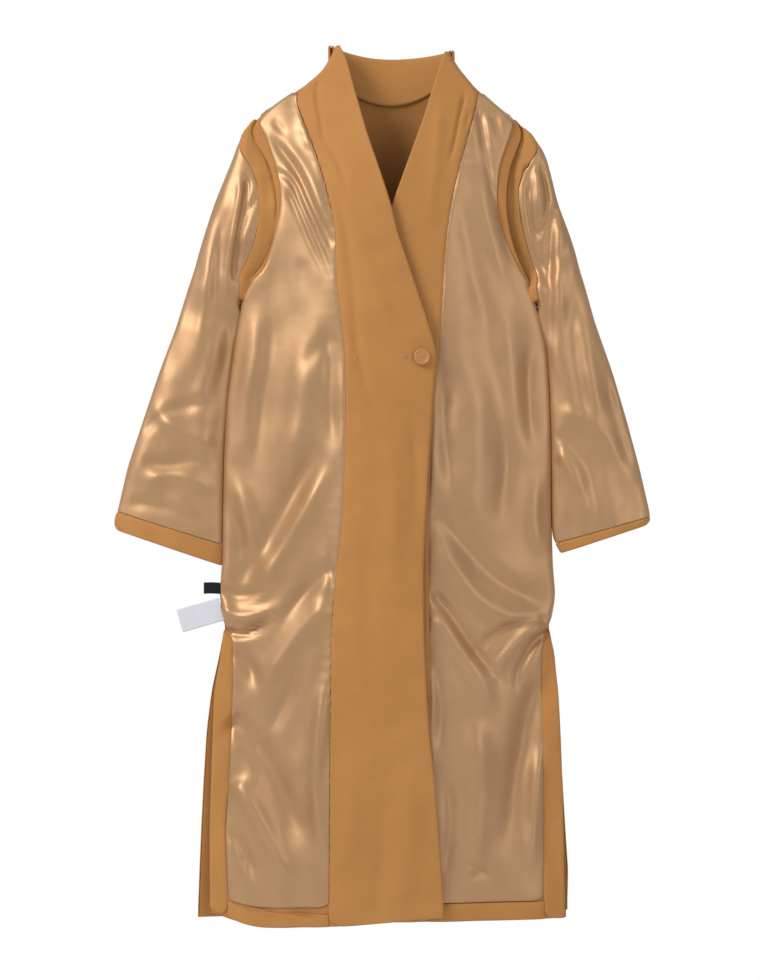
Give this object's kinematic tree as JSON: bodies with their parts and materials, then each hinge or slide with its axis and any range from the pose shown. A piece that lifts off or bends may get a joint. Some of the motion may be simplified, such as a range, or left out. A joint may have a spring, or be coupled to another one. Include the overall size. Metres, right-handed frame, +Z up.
{
  "type": "inside-out lined coat",
  "caption": "Long lined coat hung inside out: satin lining outwards, ochre facings, lapped front with a button, standing collar, side vents, and skirts, sleeves and labels that swing.",
  "frame": {"origin": "middle of the neck opening, level with the back-neck seam", "axes": "+Z up as it hangs, the coat's front faces -Y, +X to the viewer's right"},
  "size_m": [0.74, 0.125, 1.201],
  "materials": {
    "ochre_cloth": "matt cotton-like plain weave",
    "ochre_facing": "matt cotton-like plain weave",
    "satin_lining": "glossy satin",
    "button": "satin moulded",
    "thread": "pale twisted thread",
    "maker_label": "black woven ribbon, plain",
    "care_label": "white nylon ribbon, blank"
  },
  "bodies": {
    "coat": {"front_left_shell": "ochre_cloth", "front_left_facing": "ochre_facing", "front_left_lining": "satin_lining", "front_right_shell": "ochre_cloth", "front_right_facing": "ochre_facing", "front_right_lining": "satin_lining", "back_shell": "ochre_cloth", "back_yoke_facing": "ochre_facing", "back_lining": "satin_lining", "collar_outer": "ochre_cloth", "collar_inner": "ochre_facing", "armhole_facing_left": "ochre_facing", "armhole_facing_right": "ochre_facing", "sleeve_head_shell_left": "ochre_cloth", "sleeve_head_lining_left": "satin_lining", "sleeve_head_facing_left": "ochre_facing", "sleeve_head_shell_right": "ochre_cloth", "sleeve_head_lining_right": "satin_lining", "sleeve_head_facing_right": "ochre_facing", "buttonhole": "thread", "outer_button_stitches": "thread"},
    "sleeve_left": {"sleeve_shell_left": "ochre_cloth", "sleeve_lining_left": "satin_lining", "cuff_facing_left": "ochre_facing"},
    "sleeve_right": {"sleeve_shell_right": "ochre_cloth", "sleeve_lining_right": "satin_lining", "cuff_facing_right": "ochre_facing"},
    "skirt_left": {"skirt_left_shell": "ochre_cloth", "skirt_left_facing": "ochre_facing", "skirt_left_lining": "satin_lining", "skirt_left_vent_facing": "ochre_facing", "skirt_left_hem_facing": "ochre_facing"},
    "skirt_right": {"skirt_right_shell": "ochre_cloth", "skirt_right_facing": "ochre_facing", "skirt_right_lining": "satin_lining", "skirt_right_vent_facing": "ochre_facing", "skirt_right_hem_facing": "ochre_facing"},
    "skirt_back": {"skirt_back_shell": "ochre_cloth", "skirt_back_lining": "satin_lining", "skirt_back_vent_facing_left": "ochre_facing", "skirt_back_vent_facing_right": "ochre_facing", "skirt_back_hem_facing": "ochre_facing"},
    "inner_button": {"inner_button": "button", "inner_button_thread": "thread"},
    "outer_button": {"outer_button": "button"},
    "maker_label": {"maker_label": "maker_label"},
    "care_label": {"care_label": "care_label"},
    "hanger_loop": {"hanger_loop": "ochre_cloth"}
  },
  "joints": [
    {"name": "left_sleeve_lift", "type": "hinge", "parent": "coat", "child": "sleeve_left", "pos_m": [-0.2635, 0, -0.2495], "axis": [0, 1, 0], "range_deg": [0, 45]},
    {"name": "right_sleeve_lift", "type": "hinge", "parent": "coat", "child": "sleeve_right", "pos_m": [0.2725, 0, -0.2515], "axis": [0, -1, 0], "range_deg": [0, 45]},
    {"name": "left_skirt_swing", "type": "hinge", "parent": "coat", "child": "skirt_left", "pos_m": [0, -0.0637, -0.731], "axis": [-1, 0, 0], "range_deg": [0, 35], "stiffness_Nm_per_rad": 0.25, "springref_deg": -28.65},
    {"name": "right_skirt_swing", "type": "hinge", "parent": "coat", "child": "skirt_right", "pos_m": [0, -0.0637, -0.731], "axis": [-1, 0, 0], "range_deg": [0, 28], "stiffness_Nm_per_rad": 0.25, "springref_deg": -28.65},
    {"name": "back_skirt_swing", "type": "hinge", "parent": "coat", "child": "skirt_back", "pos_m": [0, 0.052, -0.731], "axis": [1, 0, 0], "range_deg": [0, 35], "stiffness_Nm_per_rad": 0.25, "springref_deg": -28.65},
    {"name": "inner_button_turn", "type": "hinge", "parent": "coat", "child": "inner_button", "pos_m": [0.051, -0.066, -0.361], "axis": [0, 1, 0], "range_deg": [-40, 40]},
    {"name": "outer_button_turn", "type": "hinge", "parent": "coat", "child": "outer_button", "pos_m": [-0.038, -0.056, -0.362], "axis": [0, 1, 0], "range_deg": [-40, 40]},
    {"name": "maker_label_turn", "type": "hinge", "parent": "coat", "child": "maker_label", "pos_m": [-0.228, -0.0037, -0.674], "axis": [0, 0, 1], "range_deg": [-60, 60]},
    {"name": "care_label_turn", "type": "hinge", "parent": "coat", "child": "care_label", "pos_m": [-0.233, -0.0063, -0.689], "axis": [0.2756, 0, -0.9613], "range_deg": [-50, 50]},
    {"name": "hanger_loop_flip", "type": "hinge", "parent": "coat", "child": "hanger_loop", "pos_m": [0, 0.0347, -0.0016], "axis": [1, 0, 0], "range_deg": [0, 150]}
  ],
  "couplings": [
    {"joint": "right_skirt_swing", "follows": "left_skirt_swing", "ratio": 0.8}
  ]
}
